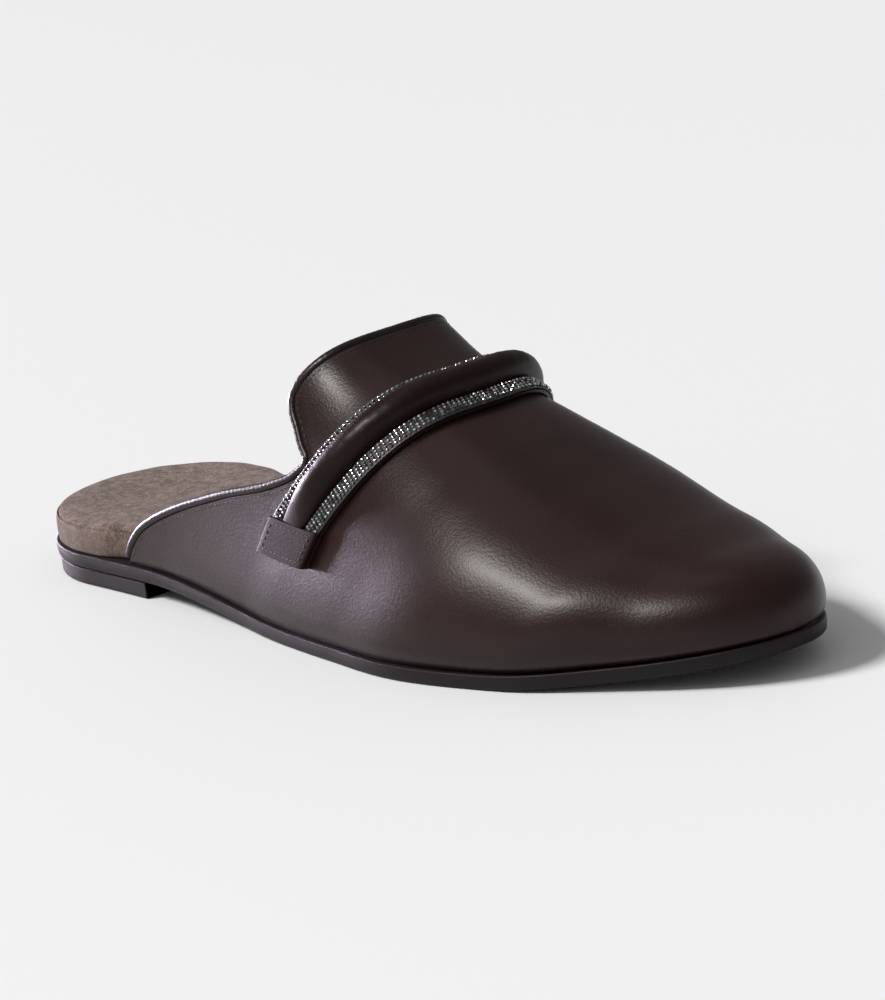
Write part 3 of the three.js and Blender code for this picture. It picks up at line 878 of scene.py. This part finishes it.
def makeSole():
    edge = soleSize["edge"]
    thick = last["soleThickness"]
    profile = [
        (edge * 2.6, soleBottom),
        (edge * 1.2, lambda x: soleBottom(x) + edge * 0.35),
        (edge * 0.4, lambda x: soleBottom(x) + edge * 1.3),
        (0.0, lambda x: soleBottom(x) + thick * 0.5),
        (0.0, lambda x: soleBottom(x) + thick * 0.7),
        (0.05, lambda x: soleTop(x) - edge * 0.7),
        (edge * 0.6, lambda x: soleTop(x) - edge * 0.15),
        (edge * 1.5, soleTop),
    ]
    sole = ringGrid("leather_sole", soleSize["along"], profile, crowded)
    closedEnds(sole)
    softened(sole, 35)
    finished(sole, soleLeather, "sole_leather", "outsole")

    taper = soleSize["heelTaper"]
    lift = last["heelLift"] - last["clearance"]
    back = last["heelSeatLength"] / last["soleLength"]

    def heelShare(t):
        tip = soleSize["tip"]
        return tip + (back - tip) * (1 - math.cos(math.pi / 2 * t)) if t < 1 else back

    def level(height):
        return lambda x: height

    levels = heelRows + [(lift - 0.2, 0.0), (lift, 0.2)]
    rows = [(taper + inset, level(height)) for height, inset in levels]
    heel = ringGrid("heel_lifts", soleSize["heelAlong"], rows, heelShare)
    closedEnds(heel)
    softened(heel, 35)
    finished(heel, soleLeather, "sole_leather", "heel")


makeSole()
print("sole made")

# The suede footbed, with a seam round it where the top sheet meets the wrapped side.
footbedSize = {
    "heelThickness": 8.6, "toeThickness": 3.5, "heelInset": 0.9, "cup": 1.3, "along": 150,
    "inside": 4.0, "stepBefore": 22, "stepAfter": 8, "fallEnd": 0.62, "spineEnd": 0.3, "wobble": 0.1,
}


def footbedInset(x):
    size = footbedSize
    seatEnd = last["heelSeatLength"]
    step = smooth(x, seatEnd - size["stepBefore"], seatEnd - size["stepAfter"])
    return size["heelInset"] + (size["inside"] - size["heelInset"]) * step


def footbedTop(x):
    size = footbedSize
    fall = smooth(x, last["heelSeatLength"], last["soleLength"] * size["fallEnd"])
    return soleTop(x) + size["heelThickness"] + (size["toeThickness"] - size["heelThickness"]) * fall


# Rows from the middle of the underside over the rim to the middle of the top: how far in from the
# outline in millimetres, how far on towards the spine, and the share of the height.
footbedRows = [
    (0.3, 1.0, 0.0), (0.3, 0.5, 0.0), (0.3, 0.0, 0.0), (0.0, 0.0, 0.05), (-0.06, 0.0, 0.2),
    (-0.08, 0.0, 0.4), (0.0, 0.0, 0.58), (0.1, 0.0, 0.7), (0.24, 0.0, 0.78), (0.42, 0.0, 0.83),
    (0.75, 0.0, 0.76), (0.9, 0.0, 0.855), (1.2, 0.0, 0.925), (1.7, 0.0, 0.965), (2.5, 0.0, 0.99),
    (3.6, 0.0, 1.0), (3.6, 0.08, 1.0), (3.6, 0.18, 1.0), (3.6, 0.3, 1.0), (3.6, 0.45, 1.0),
    (3.6, 0.62, 1.0), (3.6, 0.8, 1.0), (3.6, 1.0, 1.0),
]


def footbedPoint(side, share, inset, inward, up):
    size = footbedSize
    spineEnd = last["ballWidth"] * size["spineEnd"]
    middle = min(max(share * last["soleLength"], spineEnd), last["soleLength"] - spineEnd)
    spine = Vector((middle, centreLine(middle / last["soleLength"])))
    edge = Vector(outlinePoint(side, share, footbedInset(share * last["soleLength"])))
    point = (edge + (spine - edge).normalized() * inset).lerp(spine, inward)
    low = soleTop(point.x) + last["clearance"]
    cup = size["cup"] * smooth(inward, 0.0, 1.0)
    wobble = size["wobble"] * math.sin(point.x * 0.31 + point.y * 0.2) \
        * math.sin(point.x * 0.083 + point.y * 0.13 + 1.3)
    height = low + (footbedTop(point.x) - low - cup) * up + wobble * smooth(up, 0.4, 0.9)
    return Vector((point.x, point.y, height))


def makeFootbed():
    size = footbedSize
    lastRow = len(footbedRows) - 1

    def place(u, v):
        side = -1 if u < 0.5 else 1
        share = (1 - math.cos(math.pi * (2 * u if u < 0.5 else 2 - 2 * u))) / 2
        inset, inward, up = footbedRows[int(round(v * lastRow))]
        return footbedPoint(side, share, inset, inward, up)

    bed = shapedGrid("suede_footbed", 2 * size["along"], lastRow, place)
    welded(bed, 0.000004)
    softened(bed, 60)
    finished(bed, suede, "suede", "footbed")


makeFootbed()
print("footbed made")

# The strap over the instep.
strapSize = {
    "rear": 104.0, "width": 20.4, "lean": 7.5, "base": 1.1, "lift": 0.3, "cornerPower": 0.35,
    "rowPitch": 1.55, "rearRows": 3, "frontRows": 4, "backingHeight": 0.55, "backingGap": 0.01,
    "rollHeight": 5.2, "rollEdge": 0.9, "rollTaper": 0.12, "rollTuck": 0.05, "rollLift": 0.25,
    "rollSwell": 0.05, "rollPower": 0.85, "rollWrinkle": 0.06,
    "tabLength": 8.8, "tabThickness": 1.2, "tabClimb": 22.4, "tabRake": 2.4, "tabOver": 0.012,
    "beadPitch": 1.3, "beadRow": 1.22, "beadInset": 0.8, "frontBeadInset": 1.3, "beadSize": 0.84,
    "beadJitter": 0.04, "beadProud": 0.36,
}
tabStitch = {
    "length": 1.05, "width": 0.26, "pitch": 1.9,
    "corners": [(0.09, 0.14), (0.91, 0.14), (0.91, 0.86), (0.09, 0.86), (0.09, 0.14)],
}


def strapAngle(across, height):
    share = (strapSize["rear"] + strapSize["width"] * across) / last["soleLength"]
    return angleAt(height / (riseShare(share) * last["instepHeight"]))


def tabFoot(across):
    return strapAngle(across, strapSize["tabClimb"] - strapSize["tabLength"] / 2)


def tabTop(across):
    return strapAngle(across, strapSize["tabClimb"] + strapSize["tabLength"] / 2)


def strapShare(across, angle):
    climb = min(angle, math.pi - angle)
    low = tabFoot(across)
    high = tabTop(across)
    rake = strapSize["tabRake"] * min(max((high - climb) / (high - low), 0.0), 1.0)
    lean = strapSize["lean"] * climb / (math.pi / 2)
    return (strapSize["rear"] + strapSize["width"] * across + lean + rake) / last["soleLength"]


def strapPoint(across, angle, lift):
    return skinPoint(strapShare(across, angle), angle, lift)


baseTop = strapSize["lift"] + strapSize["base"]
tabHeight = baseTop + strapSize["lift"] + strapSize["tabThickness"]
rearBand = strapSize["rearRows"] * strapSize["rowPitch"] / strapSize["width"]
frontBand = strapSize["frontRows"] * strapSize["rowPitch"] / strapSize["width"]


# A strip over part of the strap between two lifts, closed all round, with rounded long edges.
def strapStrip(name, fromAcross, toAcross, start, end, low, high, along, around):
    def place(u, v):
        side, rise = roundedSquare(v, strapSize["cornerPower"])
        across = (fromAcross + toAcross) / 2 + (toAcross - fromAcross) / 2 * side
        first = start(across)
        final = end(across)
        angle = first + (final - first) * u
        return strapPoint(across, angle, (low + high) / 2 + (high - low) / 2 * rise)
    return shapedGrid(name, along, around, place)


def opposite(angle):
    return lambda across: math.pi - angle(across)


def makeStrap():
    size = strapSize
    base = strapStrip("strap_leather", 0.0, 1.0, tabFoot, opposite(tabFoot), 0.1, baseTop, 110, 24)
    closedEnds(base)
    softened(base, 50)
    finished(base, shadedStrapLeather, "upper_leather", "strap_base")

    def aboveTab(across):
        return tabTop(across) - 0.01

    # A padded half round: full over the top and tucked under at both long edges.
    def rollPlace(u, v):
        v = v % 1.0
        first = aboveTab(0.5)
        angle = first + (math.pi - 2 * first) * u
        ends = min(1.0, min(u, 1 - u) / size["rollTaper"])
        swell = size["rollEdge"] + (size["rollHeight"] - size["rollEdge"]) * math.sin(math.pi / 2 * ends)
        if v < 0.5:
            turn = 2 * math.pi * v
            side = -math.cos(turn) * (1 + size["rollSwell"] * math.sin(turn))
            lift = baseTop + swell * max(0.0, math.sin(turn)) ** size["rollPower"] + size["rollLift"]
        else:
            side = 3 - 4 * v
            lift = baseTop + size["rollTuck"]
        across = (rearBand + 1 - frontBand) / 2 + (1 - frontBand - rearBand) / 2 * side
        wrinkle = size["rollWrinkle"] * math.sin(u * 173) * math.sin(u * 61 + side * 2.2)
        return strapPoint(across, angle, lift + wrinkle * math.sin(math.pi * min(1.0, v * 2)))

    roll = shapedGrid("padded_roll", 150, 40, rollPlace)
    closedEnds(roll)
    softened(roll, 60)
    finished(roll, shadedStrapLeather, "upper_leather", "strap_roll")

    for name, rollSide, outwards, rows, node in (
            ("rear", rearBand, -1, size["rearRows"], "bead_band_rear"),
            ("front", 1 - frontBand, 1, size["frontRows"], "bead_band_front")):
        farSide = rollSide + outwards * rows * size["rowPitch"] / size["width"]
        strip = strapStrip(
            "bead_backing_" + name, min(rollSide, farSide) + size["backingGap"],
            max(rollSide, farSide) - size["backingGap"],
            aboveTab, opposite(aboveTab), baseTop, baseTop + size["backingHeight"], 110, 16)
        closedEnds(strip)
        softened(strip, 50)
        finished(strip, backing, "beads", node)
        makeBeads("beads_" + name, rollSide, outwards, rows)

    for name, first, final, node in (
            ("outer", tabFoot, tabTop, "strap_tab_outer"),
            ("inner", opposite(tabTop), opposite(tabFoot), "strap_tab_inner")):
        tab = strapStrip("tab_" + name, -size["tabOver"], 1 + size["tabOver"], first, final,
                         baseTop, tabHeight, 24, 40)
        closedEnds(tab)
        softened(tab, 45)
        finished(tab, shadedTabLeather, "upper_leather", node)
        tabStitches(name, first, final)


# Small domed beads in staggered rows, set close to the roll, so that the backing's far edge stays bare.
def makeBeads(name, rollSide, outwards, rows):
    size = strapSize
    deselect()
    bpy.ops.mesh.primitive_uv_sphere_add(segments=8, ring_count=5, radius=size["beadSize"] / 2000)
    model = bpy.context.object
    model.name = "bead"
    copies = []
    inset = size["frontBeadInset"] if outwards > 0 else size["beadInset"]
    lift = baseTop + size["backingHeight"] + size["beadSize"] * size["beadProud"]
    for row in range(rows):
        across = rollSide + outwards * (inset + row * size["beadRow"]) / size["width"]
        first = tabTop(across)
        angles = [first + (math.pi - 2 * first) * i / 200 for i in range(201)]
        path = SurfacePath([(strapShare(across, angle), angle) for angle in angles], baseTop)
        distance = size["beadPitch"] * (0.5 if row % 2 else 1.0)
        while distance < path.total - size["beadPitch"] * 0.5:
            jitter = random.uniform(-size["beadJitter"], size["beadJitter"])
            point, normal, tangent, aside = path.frame(distance + jitter, lift)
            tilt = Matrix.Rotation(random.uniform(0, math.pi), 3, normal)
            scale = random.uniform(0.94, 1.05)
            bead = placedCopy(model, point, tilt @ tangent, tilt @ aside, normal, scale)
            tone = bead.data.attributes.new("tone", "FLOAT", "POINT")
            value = random.random() ** 1.3
            tone.data.foreach_set("value", [value] * len(bead.data.vertices))
            copies.append(bead)
            distance += size["beadPitch"]
    deselect()
    model.select_set(True)
    bpy.ops.object.delete()
    beads = joined(name, copies)
    finished(beads, beadFinish, "beads")


# One row of stitches round a tab, a little in from its edge.
def tabStitches(name, first, final):
    corners = tabStitch["corners"]
    frames = []

    def spot(across, t):
        start = first(across)
        angle = start + (final(across) - start) * t
        return strapShare(across, angle), angle
    for (a0, t0), (a1, t1) in zip(corners, corners[1:]):
        path = SurfacePath([spot(a0 + (a1 - a0) * i / 30, t0 + (t1 - t0) * i / 30) for i in range(31)])
        count = max(3, round(path.total / tabStitch["pitch"]))
        for i in range(count):
            frames.append(path.frame(path.total * (i + 0.5) / count, tabHeight))
    stitchRow("tab_stitches_" + name, frames, tabStitch["length"], tabStitch["width"])


makeStrap()
print("strap made")

# The floor, lights and camera. Nothing here belongs to the shoe.
studio = {
    "floor": (0.9, 0.9, 0.9, 1), "world": (0.9, 0.9, 0.92, 1), "worldStrength": 0.31,
    "aim": (0.02371, -0.005, 0.03138), "azimuth": 51.238, "elevation": 15.198, "distance": 1.003,
    "roll": -7.765, "lens": 167.8,
}
lights = [
    {"name": "sideBox", "at": (-0.1, -1.25, 1.12), "towards": (0.02, 0.0, 0.02),
     "width": 0.72, "depth": 0.2, "power": 42, "colour": (1.0, 0.96, 0.93)},
    {"name": "lowCard", "at": (-1.8, -0.14, 0.12), "towards": (-0.02, 0.0, 0.0),
     "width": 0.75, "depth": 0.24, "power": 60, "colour": (0.93, 0.83, 1.0)},
    {"name": "topBox", "at": (-0.3, 0.0, 1.7), "towards": (0.0, 0.0, 0.0),
     "width": 1.0, "depth": 0.9, "power": 2.0, "colour": (1.0, 0.93, 0.9)},
]
keySun = {"from": (-0.5, -0.55, 0.8), "strength": 3.12, "softness": 16}


def aimed(direction):
    return direction.to_track_quat("-Z", "Y")


def makeStudio():
    deselect()
    bpy.ops.mesh.primitive_plane_add(size=12)
    floor = bpy.context.object
    floor.name = "floor"
    material, tree, shader, place = newMaterial("paleFloor")
    shader.inputs["Base Color"].default_value = studio["floor"]
    shader.inputs["Roughness"].default_value = 0.6
    floor.data.materials.append(material)

    world = bpy.data.worlds.new("paleStudio")
    bpy.context.scene.world = world
    world.use_nodes = True
    sky = world.node_tree.nodes["Background"]
    sky.inputs[0].default_value = studio["world"]
    sky.inputs[1].default_value = studio["worldStrength"]

    for light in lights:
        bpy.ops.object.light_add(type="AREA", location=light["at"])
        lamp = bpy.context.object
        lamp.name = light["name"]
        lamp.data.shape = "RECTANGLE"
        lamp.data.size = light["width"]
        lamp.data.size_y = light["depth"]
        lamp.data.energy = light["power"]
        lamp.data.color = light["colour"]
        lamp.visible_diffuse = False
        lamp.rotation_euler = aimed(Vector(light["towards"]) - Vector(light["at"])).to_euler()

    bpy.ops.object.light_add(type="SUN", location=keySun["from"])
    sun = bpy.context.object
    sun.name = "keySun"
    sun.visible_glossy = False
    sun.data.energy = keySun["strength"]
    sun.data.angle = math.radians(keySun["softness"])
    sun.rotation_euler = aimed(-Vector(keySun["from"])).to_euler()

    azimuth = math.radians(studio["azimuth"])
    elevation = math.radians(studio["elevation"])
    flat = math.cos(elevation)
    back = Vector((math.sin(azimuth) * flat, -math.cos(azimuth) * flat, math.sin(elevation)))
    spot = Vector(studio["aim"]) + back * studio["distance"]
    bpy.ops.object.camera_add(location=spot)
    camera = bpy.context.object
    camera.name = "photoCamera"
    level = aimed(-back).to_matrix()
    camera.rotation_euler = (level @ Matrix.Rotation(math.radians(studio["roll"]), 3, "Z")).to_euler()
    camera.data.sensor_fit = "HORIZONTAL"
    camera.data.sensor_width = 36
    camera.data.lens = studio["lens"]
    bpy.context.scene.camera = camera
    bpy.context.scene.view_settings.view_transform = "Standard"


makeStudio()
print("studio made")
